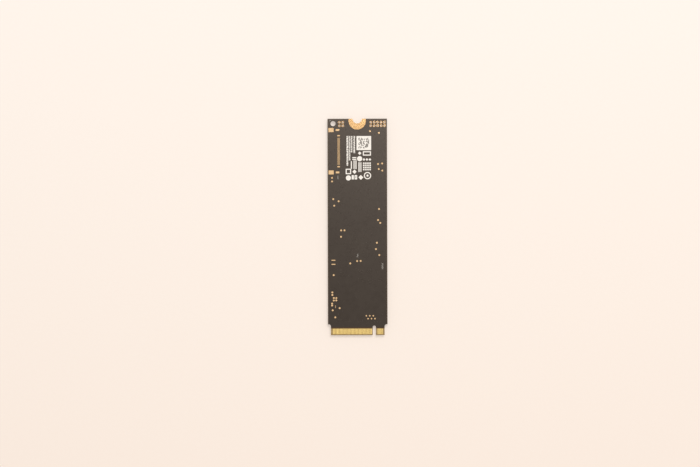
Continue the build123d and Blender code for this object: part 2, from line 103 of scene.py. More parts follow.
def noise(tree, coords, scale, detail=2.0, rough=0.5, stretch=None):
    if stretch:
        coords = out(tree, "ShaderNodeMapping", {0: coords, 3: stretch})
    return out(tree, "ShaderNodeTexNoise", {0: coords, 2: scale, 3: detail, 4: rough})


def colour(r, g, b):
    # sRGB 0-255 to the linear values that a shader takes
    def linear(v):
        v = v / 255
        return v / 12.92 if v <= 0.04045 else ((v + 0.055) / 1.055) ** 2.4
    return (linear(r), linear(g), linear(b), 1.0)


def startMaterial(name, **fixed):
    material = bpy.data.materials.new(name)
    material.use_nodes = True
    tree = material.node_tree
    tree.nodes.clear()
    shader = put(tree, "ShaderNodeBsdfPrincipled")
    put(tree, "ShaderNodeOutputMaterial", {0: shader.outputs[0]})
    for key, value in fixed.items():
        shader.inputs[key.replace("_", " ")].default_value = value
    coords = put(tree, "ShaderNodeTexCoord").outputs["Object"]
    return material, tree, shader, coords


def feed(tree, shader, **feeds):
    for key, value in feeds.items():
        socket = shader.inputs[key.replace("_", " ")]
        if isinstance(value, bpy.types.NodeSocket):
            tree.links.new(value, socket)
        else:
            socket.default_value = value


def bumpFrom(tree, height, distance, strength=0.5):
    return out(tree, "ShaderNodeBump", {0: strength, 1: distance, "Height": height})


def weighed(tree, values, weights):
    # The values, each times its weight, added up
    total, *rest = [calc(tree, "MULTIPLY", value, weight) for value, weight in zip(values, weights)]
    for part in rest:
        total = calc(tree, "ADD", total, part)
    return total


# Materials

noiseRange = (0.3, 0.7)  # most of a noise's values lie between these
maskLook = {
    "mask": colour(38, 32, 28),
    "maskPale": colour(43, 37, 32),
    "edgeStrip": colour(60, 48, 36),
    "edgeStripWidth": 0.42 * mm,
    "laminate": colour(176, 146, 94),
    "laminateDark": colour(120, 92, 52),
    "darkAboveContacts": colour(70, 52, 37),
    "fibre": colour(198, 172, 124),
    "roughness": 0.28,
    "wallRoughness": 0.72,
    "specular": 0.35,
    "specularTint": (1.0, 0.86, 0.74, 1.0),
    "slowScale": 70.0,
    "midScale": 420.0,
    "grainScale": 5200.0,
    "fleckScale": 2600.0,
    "toneShares": (0.6, 0.4),  # of the slow and the middle noise
    "toneRange": (0.35, 0.65),
    "shineStep": 0.015,
    "maskShare": 0.9,
    "edgeStripSoft": 0.8,
    "layers": {"Scale": 2200.0, "Distortion": 1.2, "Detail": 2.0, "Detail Scale": 3.0},
    "layerShare": 0.45,
    "clothRange": (0.35, 0.7),
    "fleckStretch": (0.25, 0.25, 1.6),
    "fleckRange": (0.45, 0.75),
    "fleckShare": 0.5,
    "weavePitch": 0.48 * mm,
    "weaveRange": (0.1, 0.9),
    "contactMargin": 0.03 * mm,
    "heights": (0.5, 0.9, 0.22, -0.4),  # of the grain, the middle noise, the weave and the edge strip
    "bump": 0.005 * mm,
}


def weaveHeight(tree, x, y, pitch):
    # Crossed yarns of the glass cloth
    across = calc(tree, "SINE", calc(tree, "MULTIPLY", x, 2 * math.pi / pitch))
    along = calc(tree, "SINE", calc(tree, "MULTIPLY", y, 2 * math.pi / pitch))
    crossed = calc(tree, "MULTIPLY", across, along)
    return calc(tree, "MULTIPLY_ADD", crossed, 0.5, 0.5)


def maskMaterial():
    look = maskLook
    material, tree, shader, coords = startMaterial(
        "blackMask", Specular_IOR_Level=look["specular"], Specular_Tint=look["specularTint"])
    x, y, z = put(tree, "ShaderNodeSeparateXYZ", {0: coords}).outputs[:]
    # Mask wherever the surface lies outside the laminate's own thickness
    fromMiddle = calc(tree, "ABSOLUTE", calc(tree, "SUBTRACT", z, middleZ))
    isMask = calc(tree, "GREATER_THAN", fromMiddle, (backZ - frontZ) / 2 - look["maskShare"] * padDepth)
    slow = noise(tree, coords, look["slowScale"], 3.0)
    mid = noise(tree, coords, look["midScale"], 3.0)
    grain = noise(tree, coords, look["grainScale"], 2.0)
    tone = weighed(tree, (slow, mid), look["toneShares"])
    maskTone = mixColour(tree, spread(tree, tone, *look["toneRange"]), look["mask"], look["maskPale"])
    # The copper stops short of the routed edge, where the mask lies on bare laminate
    sideGap = calc(tree, "SUBTRACT", boardHigh.x, calc(tree, "ABSOLUTE", x))
    endGap = calc(tree, "SUBTRACT", boardHigh.y, y)
    edgeGap = calc(tree, "MINIMUM", sideGap, endGap)
    stripWidth = look["edgeStripWidth"]
    strip = spread(tree, edgeGap, stripWidth, stripWidth * look["edgeStripSoft"])
    maskTone = mixColour(tree, strip, maskTone, look["edgeStrip"])
    # Cut walls show the glass cloth in thin layers
    waves = {0: coords, **look["layers"]}
    layers = put(tree, "ShaderNodeTexWave", waves, bands_direction="Z").outputs[1]
    fleck = noise(tree, coords, look["fleckScale"], 4.0, 0.6, look["fleckStretch"])
    clothTone = spread(tree, fleck, *look["clothRange"])
    cloth = mixColour(tree, clothTone, look["laminateDark"], look["laminate"])
    cloth = mixColour(tree, calc(tree, "MULTIPLY", layers, look["layerShare"]), cloth, look["fibre"])
    facing = put(tree, "ShaderNodeNewGeometry").outputs["True Normal"]
    normal = put(tree, "ShaderNodeSeparateXYZ", {0: facing})
    isFlat = calc(tree, "GREATER_THAN", calc(tree, "ABSOLUTE", normal.outputs[2]), 0.5)
    weave = weaveHeight(tree, x, y, look["weavePitch"])
    bareTone = spread(tree, weave, *look["weaveRange"])
    bare = mixColour(tree, bareTone, look["laminateDark"], look["laminate"])
    flecks = spread(tree, fleck, *look["fleckRange"], 0.0, look["fleckShare"])
    bare = mixColour(tree, flecks, bare, look["fibre"])
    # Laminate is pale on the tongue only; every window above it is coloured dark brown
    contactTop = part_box("edge_contacts_back")[1].y + look["contactMargin"]
    bare = mixColour(tree, calc(tree, "GREATER_THAN", y, contactTop), bare, look["darkAboveContacts"])
    inside = mixColour(tree, isFlat, cloth, bare)
    feed(tree, shader, Base_Color=mixColour(tree, isMask, inside, maskTone))
    uneven = spread(tree, mid, *noiseRange, -look["shineStep"], look["shineStep"])
    shine = calc(tree, "ADD", uneven, look["roughness"])
    feed(tree, shader, Roughness=mixFloat(tree, isMask, look["wallRoughness"], shine))
    # Fine orange peel over a trace of the cloth below, and a small step at the copper's edge
    height = weighed(tree, (grain, mid, weave, strip), look["heights"])
    feed(tree, shader, Normal=bumpFrom(tree, height, look["bump"]))
    return material


goldLook = {
    "gold": (0.75, 0.49, 0.235, 1.0), "dull": (0.68, 0.44, 0.21, 1.0),
    "roughness": 0.07, "bump": 0.0001 * mm}
padLook = {
    "gold": (0.83, 0.61, 0.36, 1.0), "dull": (0.75, 0.54, 0.31, 1.0),
    "roughness": 0.07, "bump": 0.0001 * mm}
contactLook = {
    "gold": (0.82, 0.64, 0.25, 1.0), "dull": (0.72, 0.55, 0.2, 1.0),
    "roughness": 0.18, "bump": 0.0015 * mm}
goldGrain = {
    "toneScale": 900.0,
    "toneRange": (0.35, 0.7),
    "grainScale": 9000.0,
    "shine": (0.94, 1.1),  # shares of a look's roughness
    "markStretch": (1.0, 0.035, 1.0),
    "markRange": (0.5, 0.75),
    "markShine": 0.12,
    "markHeight": 1.2,
}


def goldMaterial(name, look, scratched):
    material, tree, shader, coords = startMaterial(name, Metallic=1.0)
    slow = noise(tree, coords, goldGrain["toneScale"], 3.0)
    grain = noise(tree, coords, goldGrain["grainScale"], 3.0, 0.6)
    tone = spread(tree, slow, *goldGrain["toneRange"])
    feed(tree, shader, Base_Color=mixColour(tree, tone, look["gold"], look["dull"]))
    height = grain
    low, high = (look["roughness"] * share for share in goldGrain["shine"])
    shine = spread(tree, grain, *noiseRange, low, high)
    if scratched:
        # Marks of the socket's springs, along the insertion direction
        marks = noise(tree, coords, goldGrain["grainScale"], 3.0, 0.7, goldGrain["markStretch"])
        height = calc(tree, "ADD", height, calc(tree, "MULTIPLY", marks, goldGrain["markHeight"]))
        worn = spread(tree, marks, *goldGrain["markRange"], 0.0, goldGrain["markShine"])
        shine = calc(tree, "ADD", shine, worn)
    feed(tree, shader, Roughness=shine)
    feed(tree, shader, Normal=bumpFrom(tree, height, look["bump"]))
    return material


inkLook = {
    "ink": colour(250, 243, 233),
    "thin": colour(214, 203, 188),
    "specular": 0.4,
    "roughness": (0.54, 0.74),
    "patchScale": 3800.0,
    "wornRange": (0.52, 0.75),
    "bump": 0.01 * mm,
}


def inkMaterial():
    look = inkLook
    material, tree, shader, coords = startMaterial("whiteInk", Specular_IOR_Level=look["specular"])
    patchy = noise(tree, coords, look["patchScale"], 4.0, 0.65)
    worn = spread(tree, patchy, *look["wornRange"])
    feed(tree, shader, Base_Color=mixColour(tree, worn, look["ink"], look["thin"]))
    feed(tree, shader, Roughness=spread(tree, patchy, *noiseRange, *look["roughness"]))
    feed(tree, shader, Normal=bumpFrom(tree, patchy, look["bump"]))
    return material


mouldLook = {
    "dark": colour(38, 38, 39),
    "pale": colour(58, 58, 59),
    "specular": 0.45,
    "roughness": (0.58, 0.72),
    "fineScale": 7000.0,
    "paleRange": (0.4, 0.75),
    "slowScale": 240.0,
    "bump": 0.012 * mm,
    "strength": 0.6,
}


def mouldMaterial():
    look = mouldLook
    material, tree, shader, coords = startMaterial("blackMould", Specular_IOR_Level=look["specular"])
    fine = noise(tree, coords, look["fineScale"], 3.0, 0.7)
    slow = noise(tree, coords, look["slowScale"], 2.0)
    tone = spread(tree, fine, *look["paleRange"])
    feed(tree, shader, Base_Color=mixColour(tree, tone, look["dark"], look["pale"]))
    feed(tree, shader, Roughness=spread(tree, slow, *noiseRange, *look["roughness"]))
    feed(tree, shader, Normal=bumpFrom(tree, fine, look["bump"], look["strength"]))
    return material


# One finish for substrates, ceramics, ferrite, solder and the lid: two tones of a grain, and its bump
speckledLooks = {
    "green_substrate": {
        "name": "greenSubstrate", "base": colour(44, 62, 38), "fleck": colour(70, 84, 50),
        "roughness": 0.5, "scale": 3000.0, "bump": 0.008 * mm},
    "solder": {
        "name": "solder", "base": (0.66, 0.66, 0.65, 1.0), "fleck": (0.5, 0.5, 0.49, 1.0),
        "roughness": 0.34, "scale": 5200.0, "bump": 0.008 * mm, "metallic": 1.0},
    "tan_ceramic": {
        "name": "tanCeramic", "base": colour(158, 128, 96), "fleck": colour(134, 104, 76),
        "roughness": 0.45, "scale": 6000.0, "bump": 0.006 * mm},
    "black_ceramic": {
        "name": "blackCeramic", "base": colour(34, 34, 36), "fleck": colour(52, 52, 55),
        "roughness": 0.32, "scale": 5000.0, "bump": 0.004 * mm},
    "grey_ferrite": {
        "name": "greyFerrite", "base": colour(92, 92, 94), "fleck": colour(66, 66, 69),
        "roughness": 0.66, "scale": 4200.0, "bump": 0.014 * mm},
    "pale_ceramic": {
        "name": "paleCeramic", "base": colour(196, 184, 158), "fleck": colour(174, 160, 132),
        "roughness": 0.55, "scale": 5200.0, "bump": 0.006 * mm},
    "steel_lid": {
        "name": "steelLid", "base": (0.62, 0.6, 0.55, 1.0), "fleck": (0.5, 0.48, 0.44, 1.0),
        "roughness": 0.3, "scale": 3600.0, "bump": 0.004 * mm, "metallic": 1.0},
}


speckledGrain = {
    "slower": 12,  # the second noise is so many times coarser
    "toneShares": (0.6, 0.4),
    "fleckRange": (0.38, 0.68),
    "shine": (-0.06, 0.08),  # added to a look's roughness
    "strength": 0.6,
}


def speckledMaterial(look):
    material, tree, shader, coords = startMaterial(look["name"], Metallic=look.get("metallic", 0.0))
    grain = noise(tree, coords, look["scale"], 3.0, 0.6)
    slow = noise(tree, coords, look["scale"] / speckledGrain["slower"], 2.0)
    tone = weighed(tree, (grain, slow), speckledGrain["toneShares"])
    fleck = spread(tree, tone, *speckledGrain["fleckRange"])
    feed(tree, shader, Base_Color=mixColour(tree, fleck, look["base"], look["fleck"]))
    low, high = (look["roughness"] + step for step in speckledGrain["shine"])
    feed(tree, shader, Roughness=spread(tree, grain, *noiseRange, low, high))
    feed(tree, shader, Normal=bumpFrom(tree, grain, look["bump"], speckledGrain["strength"]))
    return material


materials = {
    "black_mask": maskMaterial(),
    "gold": goldMaterial("gold", goldLook, False),
    "padGold": goldMaterial("padGold", padLook, False),
    "contactGold": goldMaterial("contactGold", contactLook, True),
    "white_ink": inkMaterial(),
    "black_mould": mouldMaterial(),
}
for slot, look in speckledLooks.items():
    materials[slot] = speckledMaterial(look)
print("materials ready")

slotOf = {row["node"]: row["material_slot"] for row in frame["record"]["subparts"]}
for node, slot in slotOf.items():
    frame["nodes"][node].data.materials.append(materials[slot])


# Places and sizes of the solids inside one CAD node

def islands(node):
    # (lowest corner, highest corner) of each separate solid of a CAD node
    mesh = bmesh.new()
    mesh.from_mesh(frame["nodes"][node].data)
    bmesh.ops.remove_doubles(mesh, verts=mesh.verts, dist=mergeReach)
    left = set(mesh.verts)
    found = []
    while left:
        heap = [left.pop()]
        low = Vector(heap[0].co)
        high = Vector(heap[0].co)
        while heap:
            for edge in heap.pop().link_edges:
                for vert in edge.verts:
                    if vert in left:
                        left.remove(vert)
                        heap.append(vert)
                        low = Vector(map(min, low, vert.co))
                        high = Vector(map(max, high, vert.co))
        found.append((low, high))
    mesh.free()
    return sorted(found, key=lambda box: tuple((box[0] + box[1]).to_tuple(6)))


def centre(box):
    return (box[0] + box[1]) / 2


def pointCloud(places, attributes=None):
    mesh = bpy.data.meshes.new("places")
    mesh.from_pydata([tuple(place) for place in places], [], [])
    for name, values in (attributes or {}).items():
        data = mesh.attributes.new(name, "FLOAT_VECTOR", "POINT").data
        data.foreach_set("vector", [v for value in values for v in value])
    return mesh


def newObject(name, data):
    made = bpy.data.objects.new(name, data)
    bpy.context.scene.collection.objects.link(made)
    return made


def meshFrom(shape, name, material):
    # A plain mesh of one material; the editable one goes
    made = bpy.data.meshes.new(name)
    shape.to_mesh(made)
    shape.free()
    made.materials.append(material)
    return made


def evaluated(holder):
    # The mesh that the holder's modifiers make; the holder goes
    ready = holder.evaluated_get(bpy.context.evaluated_depsgraph_get())
    made = bpy.data.meshes.new_from_object(ready)
    bpy.data.objects.remove(holder)
    return made


def finishPiece(name, meshes, replaced=()):
    # One piece from one or more finished meshes of the same material
    whole = bmesh.new()
    for mesh in meshes:
        whole.from_mesh(mesh)
    for face in whole.faces:
        face.material_index = 0
    piece = newObject(name, meshFrom(whole, name, [used for used in meshes[0].materials if used][0]))
    for mesh in meshes:
        bpy.data.meshes.remove(mesh)
    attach(piece, "root")
    if replaced:
        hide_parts(*replaced)


# Geometry Nodes helpers

socketKinds = {float: "NodeSocketFloat", int: "NodeSocketInt"}


def startTree(name, inputs):
    tree = bpy.data.node_groups.new(name, "GeometryNodeTree")
    tree.interface.new_socket("Geometry", in_out="INPUT", socket_type="NodeSocketGeometry")
    for label, value in inputs.items():
        socket = tree.interface.new_socket(label, in_out="INPUT", socket_type=socketKinds[type(value)])
        socket.default_value = value
    tree.interface.new_socket("Material", in_out="INPUT", socket_type="NodeSocketMaterial")
    tree.interface.new_socket("Geometry", in_out="OUTPUT", socket_type="NodeSocketGeometry")
    return tree, put(tree, "NodeGroupInput").outputs


def endTree(tree, start, instances, smooth=False):
    solid = out(tree, "GeometryNodeRealizeInstances", {0: instances})
    solid = out(tree, "GeometryNodeSetShadeSmooth", {"Geometry": solid, "Shade Smooth": smooth})
    feeds = {"Geometry": solid, "Material": start["Material"]}
    put(tree, "NodeGroupOutput", {0: out(tree, "GeometryNodeSetMaterial", feeds)})
    return tree


def runTree(tree, source, values, material):
    # The tree's result on the source mesh, as a plain mesh
    holder = newObject("holder", source)
    modifier = holder.modifiers.new("nodes", "NODES")
    modifier.node_group = tree
    values = dict(values, Material=materials[material])
    for item in tree.interface.items_tree:
        if item.in_out == "INPUT" and item.name in values:
            modifier[item.identifier] = values[item.name]
    return evaluated(holder)


def onPoints(tree, start, unit, turn=None, size=None):
    feeds = {"Points": start["Geometry"], "Instance": unit}
    if turn:
        feeds["Rotation"] = out(tree, "ShaderNodeCombineXYZ", {0: start[turn]})
    if size:
        sizes = put(tree, "GeometryNodeInputNamedAttribute", {0: size}, data_type="FLOAT_VECTOR")
        feeds["Scale"] = sizes.outputs[0]
    return out(tree, "GeometryNodeInstanceOnPoints", feeds)


def grow(tree, mesh, top, rise, shrinkX=1.0, shrinkY=1.0):
    # Raises the top face and shrinks it along X and Y
    step = put(tree, "GeometryNodeExtrudeMesh", {
        "Mesh": mesh, "Selection": top, "Offset Scale": rise, "Individual": False})
    mesh, top = step.outputs["Mesh"], step.outputs["Top"]
    for axis, factor in (((1.0, 0.0, 0.0), shrinkX), ((0.0, 1.0, 0.0), shrinkY)):
        feeds = {"Geometry": mesh, "Selection": top, "Scale": factor, "Axis": axis}
        mesh = out(tree, "GeometryNodeScaleElements", feeds, scale_mode="SINGLE_AXIS")
    return mesh, top


def joined(tree, parts):
    node = put(tree, "GeometryNodeJoinGeometry")
    for part in parts:
        tree.links.new(part, node.inputs[0])
    return node.outputs[0]


def closeBase(tree, base, raised):
    # The flat base turned over closes the underside
    under = out(tree, "GeometryNodeFlipFaces", {"Mesh": base})
    feeds = {"Geometry": joined(tree, [raised, under]), "Distance": mergeReach}
    return out(tree, "GeometryNodeMergeByDistance", feeds)


def filleted(tree, curve, radius, steps):
    feeds = {"Curve": curve, "Radius": radius, "Limit Radius": True, "Count": steps}
    return out(tree, "GeometryNodeFilletCurve", feeds, mode="POLY")


# Pads: rounded rectangles or discs with a softened rim

padShape = {
    "corner": 0.05 * mm,
    "fineCorner": 0.03 * mm,
    "contactCorner": 0.06 * mm,
    "roundCorner": 0.5 * mm,  # cut down to half the pad's width, which makes a disc
    "cornerSteps": 7,
    "rim": 0.008 * mm,
    "roundRim": 0.012 * mm,
}


def padTree():
    tree, start = startTree("padNodes", {
        "Width": 1.0 * mm, "Length": 1.0 * mm, "Height": 0.03 * mm,
        "Corner": 0.1 * mm, "Rim": 0.01 * mm, "Turn": 0.0})
    sides = {0: start["Width"], 1: start["Length"]}
    outline = out(tree, "GeometryNodeCurvePrimitiveQuadrilateral", sides)
    outline = filleted(tree, outline, start["Corner"], padShape["cornerSteps"])
    base = out(tree, "GeometryNodeFillCurve", {0: outline}, mode="NGONS")
    feeds = {"Geometry": base, "Distance": 10 * mergeReach}
    base = out(tree, "GeometryNodeMergeByDistance", feeds)
    rim2 = calc(tree, "MULTIPLY", start["Rim"], 2.0)
    shrinkX = calc(tree, "SUBTRACT", 1.0, calc(tree, "DIVIDE", rim2, start["Width"]))
    shrinkY = calc(tree, "SUBTRACT", 1.0, calc(tree, "DIVIDE", rim2, start["Length"]))
    wall = calc(tree, "SUBTRACT", start["Height"], start["Rim"])
    mesh, top = grow(tree, base, True, wall)
    mesh, top = grow(tree, mesh, top, start["Rim"], shrinkX, shrinkY)
    solid = closeBase(tree, base, mesh)
    return endTree(tree, start, onPoints(tree, start, solid, turn="Turn"))


padNodes = padTree()


def padGroups(node):
    # The solids of a node, grouped by size
    groups = {}
    for low, high in islands(node):
        size = high - low
        key = (round(size.x / mm, 2), round(size.y / mm, 2))
        groups.setdefault(key, []).append((low, high))
    return groups


def makePads(name, node, material="padGold", corner=None, rim=None):
    made = []
    for (width, length), boxes in padGroups(node).items():
        low, high = boxes[0]
        below = centre(boxes[0]).z < middleZ
        z = high.z if below else low.z
        places = [(centre(box).x, centre(box).y, z) for box in boxes]
        values = {
            "Width": width * mm, "Length": length * mm, "Height": high.z - low.z,
            "Corner": corner or padShape["corner"], "Rim": rim or padShape["rim"],
            "Turn": math.pi if below else 0.0}
        made.append(runTree(padNodes, pointCloud(places), values, material))
    finishPiece(name, made, [node])


for name, node in (("testPads", "test_pads"), ("staggeredPads", "staggered_test_pads")):
    makePads(name, node, corner=padShape["roundCorner"], rim=padShape["roundRim"])
makePads("finePads", "connector_fine_pads", corner=padShape["fineCorner"])
makePads("anchorPads", "connector_anchor_pads")
makePads("sidePads", "connector_side_pads")
makePads("sparePads", "spare_part_pads")
makePads("contactsBack", "edge_contacts_back", "contactGold", padShape["contactCorner"])
makePads("contactsFront", "edge_contacts_front", "contactGold", padShape["contactCorner"])
print("pads and contacts ready")


# Plated holes of the headers

barrelLook = {
    "hole": 0.3 * mm,
    "wall": 0.05 * mm,
    "plate": 0.03 * mm,
    "soft": 0.4,  # share of the plate's thickness
    "sides": 32,
    "rimSteps": 2,
}


def ringPart(tree, inner, outer, low, high, corner):
    # A closed ring of rectangular section, between two radii and two heights
    half = calc(tree, "MULTIPLY", calc(tree, "ADD", inner, outer), 0.5)
    feeds = {"Resolution": barrelLook["sides"], "Radius": half}
    circle = out(tree, "GeometryNodeCurvePrimitiveCircle", feeds)
    width = calc(tree, "SUBTRACT", outer, inner)
    height = calc(tree, "SUBTRACT", high, low)
    section = out(tree, "GeometryNodeCurvePrimitiveQuadrilateral", {0: width, 1: height})
    section = filleted(tree, section, corner, barrelLook["rimSteps"])
    ring = out(tree, "GeometryNodeCurveToMesh", {"Curve": circle, "Profile Curve": section})
    middle = calc(tree, "MULTIPLY", calc(tree, "ADD", low, high), 0.5)
    lift = out(tree, "ShaderNodeCombineXYZ", {2: middle})
    return out(tree, "GeometryNodeTransform", {"Geometry": ring, "Translation": lift})


def barrelTree():
    tree, start = startTree("barrelNodes", {
        "Hole": barrelLook["hole"], "Wall": barrelLook["wall"], "Land": 0.5 * mm,
        "Height": 0.78 * mm, "Plate": barrelLook["plate"]})
    hole, height = start["Hole"], start["Height"]
    wall = calc(tree, "ADD", hole, start["Wall"])
    upper = calc(tree, "SUBTRACT", height, start["Plate"])
    soft = calc(tree, "MULTIPLY", start["Plate"], barrelLook["soft"])
    parts = [
        ringPart(tree, hole, wall, 0.0, height, soft),
        ringPart(tree, hole, start["Land"], 0.0, start["Plate"], soft),
        ringPart(tree, hole, start["Land"], upper, height, soft),
    ]
    return endTree(tree, start, onPoints(tree, start, joined(tree, parts)))


barrelNodes = barrelTree()


def makeBarrels(name, node):
    boxes = islands(node)
    low, high = boxes[0]
    values = {
        "Hole": barrelLook["hole"], "Wall": barrelLook["wall"], "Plate": barrelLook["plate"],
        "Land": (high.x - low.x) / 2, "Height": high.z - low.z}
    places = [(centre(box).x, centre(box).y, box[0].z) for box in boxes]
    mesh = runTree(barrelNodes, pointCloud(places), values, "gold")
    finishPiece(name, [mesh], [node])


makeBarrels("headerTen", "header_barrels_ten")
makeBarrels("headerFour", "header_barrels_four")


# Copies of CAD solids with softened edges

softAngles = {"flat": math.radians(1), "edge": math.radians(40)}


def softened(node, width, segments):
    mesh = bmesh.new()
    mesh.from_mesh(frame["nodes"][node].data)
    bmesh.ops.remove_doubles(mesh, verts=mesh.verts, dist=mergeReach)
    bmesh.ops.dissolve_limit(mesh, angle_limit=softAngles["flat"], verts=mesh.verts, edges=mesh.edges)
    holder = newObject("holder", meshFrom(mesh, "softened", materials[slotOf[node]]))
    bevel = holder.modifiers.new("bevel", "BEVEL")
    bevel.width = width
    bevel.segments = segments
    bevel.limit_method = "ANGLE"
    bevel.angle_limit = softAngles["edge"]
    return evaluated(holder)


# piece name: (node, width of the softened edge, segments)
softPieces = {
    "memoryMould1": ("memory_1_mould", 0.06 * mm, 3),
    "memoryMould2": ("memory_2_mould", 0.06 * mm, 3),
    "controllerMould": ("controller_mould", 0.06 * mm, 3),
    "powerManagerBody": ("power_manager_body", 0.03 * mm, 2),
    "loadSwitchBody": ("load_switch_body", 0.03 * mm, 2),
    "temperatureSensorBody": ("temperature_sensor_body", 0.03 * mm, 2),
    "crystalBase": ("crystal_base", 0.03 * mm, 2),
    "crystalLid": ("crystal_lid", 0.05 * mm, 2),
    "inductorCores": ("inductor_cores", 0.08 * mm, 2),
    "inductorTerminals": ("inductor_terminals", 0.04 * mm, 2),
    "largeCapacitorBodies": ("large_capacitor_bodies", 0.04 * mm, 2),
    "largeCapacitorTerminals": ("large_capacitor_terminals", 0.06 * mm, 2),
    "smallCapacitorBodies": ("small_capacitor_bodies", 0.02 * mm, 1),
    "smallCapacitorTerminals": ("small_capacitor_terminals", 0.03 * mm, 2),
    "resistorBodies": ("resistor_bodies", 0.015 * mm, 1),
    "resistorTerminals": ("resistor_terminals", 0.02 * mm, 1),
}
for pieceName, (node, width, segments) in softPieces.items():
    finishPiece(pieceName, [softened(node, width, segments)], [node])
print("packages and small parts ready")


# Screw notch: lands on both faces and the plated wall between them

notchLook = {
    "radius": 1.75 * mm,
    "plate": 0.015 * mm,
    "backing": 0.006 * mm,  # how far the plating reaches into the laminate
    "overlap": 0.03 * mm,
    "rim": 0.01 * mm,
    "rimSteps": 2,
    "segments": 64,
}


def notchWall():
    # A thin half tube that lines the notch
    look = notchLook
    mesh = bmesh.new()
    low = windowFrontZ - look["overlap"]
    high = windowBackZ + look["overlap"]
    inner = look["radius"] - look["plate"]
    outer = look["radius"] + look["backing"]
    rows = []
    for i in range(look["segments"] + 1):
        angle = -math.pi * i / look["segments"]
        row = []
        for radius, z in ((inner, low), (inner, high), (outer, high), (outer, low)):
            x = radius * math.cos(angle)
            y = boardHigh.y + radius * math.sin(angle)
            row.append(mesh.verts.new((x, y, z)))
        rows.append(row)
    for first, second in zip(rows, rows[1:]):
        for i in range(4):
            j = (i + 1) % 4
            mesh.faces.new((first[i], first[j], second[j], second[i]))
    mesh.faces.new(rows[0])
    mesh.faces.new(rows[-1][::-1])
    bmesh.ops.recalc_face_normals(mesh, faces=mesh.faces)
    return meshFrom(mesh, "wall", materials["gold"])


finishPiece("notchPlating", [
    softened("screw_land_back", notchLook["rim"], notchLook["rimSteps"]),
    softened("screw_land_front", notchLook["rim"], notchLook["rimSteps"]),
    notchWall(),
], ["screw_land_back", "screw_land_front"])


# Solder balls between the board and the tall packages

ballLook = {"bulge": 1.12, "segments": 12, "rings": 8}
ballPieces = {
    "memoryBalls1": "memory_1_balls",
    "memoryBalls2": "memory_2_balls",
    "controllerBalls": "controller_balls",
}


def ballTree():
    tree, start = startTree("ballNodes", {"Radius": 0.23 * mm, "Height": 0.25 * mm})
    ball = out(tree, "GeometryNodeMeshUVSphere", {
        "Segments": ballLook["segments"], "Rings": ballLook["rings"], "Radius": start["Radius"]})
    # Both poles are flattened against the board and the substrate
    place = put(tree, "ShaderNodeSeparateXYZ", {0: out(tree, "GeometryNodeInputPosition")}).outputs
    half = calc(tree, "MULTIPLY", start["Height"], 0.5)
    lowered = calc(tree, "MINIMUM", place[2], half)
    flat = calc(tree, "MAXIMUM", lowered, calc(tree, "MULTIPLY", half, -1.0))
    spot = out(tree, "ShaderNodeCombineXYZ", {0: place[0], 1: place[1], 2: flat})
    ball = out(tree, "GeometryNodeSetPosition", {"Geometry": ball, "Position": spot})
    return endTree(tree, start, onPoints(tree, start, ball), smooth=True)


ballNodes = ballTree()
for pieceName, node in ballPieces.items():
    boxes = islands(node)
    size = boxes[0][1] - boxes[0][0]
    values = {"Radius": size.x / 2 * ballLook["bulge"], "Height": size.z}
    mesh = runTree(ballNodes, pointCloud([centre(box) for box in boxes]), values, "solder")
    finishPiece(pieceName, [mesh], [node])
print("solder balls ready")


# Solder joints: a hollow-faced wedge that climbs each terminal's end

jointLook = {"climb": 0.55, "steps": 4, "film": 0.012 * mm, "under": 0.02 * mm, "narrow": 0.05 * mm}
jointTerminals = [
    "large_capacitor_terminals", "small_capacitor_terminals", "resistor_terminals", "inductor_terminals",
]


def solderJoints():
    look = jointLook
    terminals = [box for node in jointTerminals for box in islands(node)]
    mesh = bmesh.new()
    for low, high in islands("solder_joints"):
        middle = centre((low, high))
        terminal = min(terminals, key=lambda box: (centre(box) - middle).xy.length)
        outward = (middle - centre(terminal)).xy
        axis = 0 if abs(outward.x) > abs(outward.y) else 1
        sign = 1 if outward[axis] > 0 else -1
        face = terminal[1][axis] if sign > 0 else terminal[0][axis]
        toe = high[axis] if sign > 0 else low[axis]
        climb = (terminal[1].z - terminal[0].z) * look["climb"]
        top = high.z
        foot = top - look["film"]
        under = face - sign * look["under"]
        profile = [(under, top), (toe, top), (toe, foot)]
        for i in range(1, look["steps"] + 1):
            turn = math.pi / 2 * i / look["steps"]
            profile.append((toe - (toe - face) * math.sin(turn), foot - climb * (1 - math.cos(turn))))
        profile.append((under, profile[-1][1]))
        across = 1 - axis
        ends = []
        for side in (low[across], high[across]):
            row = []
            for along, z in profile:
                spot = [0, 0, z]
                spot[axis] = along
                # The wedge narrows towards the terminal's own width
                inset = (top - z) / climb * look["narrow"]
                spot[across] = side + (inset if side == low[across] else -inset)
                row.append(mesh.verts.new(spot))
            ends.append(row)
        count = len(profile)
        for i in range(count):
            j = (i + 1) % count
            mesh.faces.new((ends[0][i], ends[0][j], ends[1][j], ends[1][i]))
        mesh.faces.new(ends[0])
        mesh.faces.new(ends[1][::-1])
        # The flat film under the terminal
        place = Matrix.Translation(middle) @ Matrix.Diagonal((*(high - low), 1))
        bmesh.ops.create_cube(mesh, size=1.0, matrix=place)
    bmesh.ops.recalc_face_normals(mesh, faces=mesh.faces)
    return meshFrom(mesh, "joints", materials["solder"])


finishPiece("solderJoints", [solderJoints()], ["solder_joints"])
print("solder joints ready")


# White print: small words stand as rows of short bars, never as letters

printLook = {
    "pitch": 0.135 * mm,
    "denseShare": 0.93,
    "thinShare": 0.8,
    "faintShare": 0.18,
    "denseBeyond": (-3.3 * mm, -1.5 * mm),  # text lines left or right of these are the dense ones
    "raggedWidths": (1.0, 1.0, 0.92, 0.8, 0.7),
    "inkHeight": 0.015 * mm,
    "wallShare": 0.6,
    "soft": 0.9,
    "seed": 11,
}


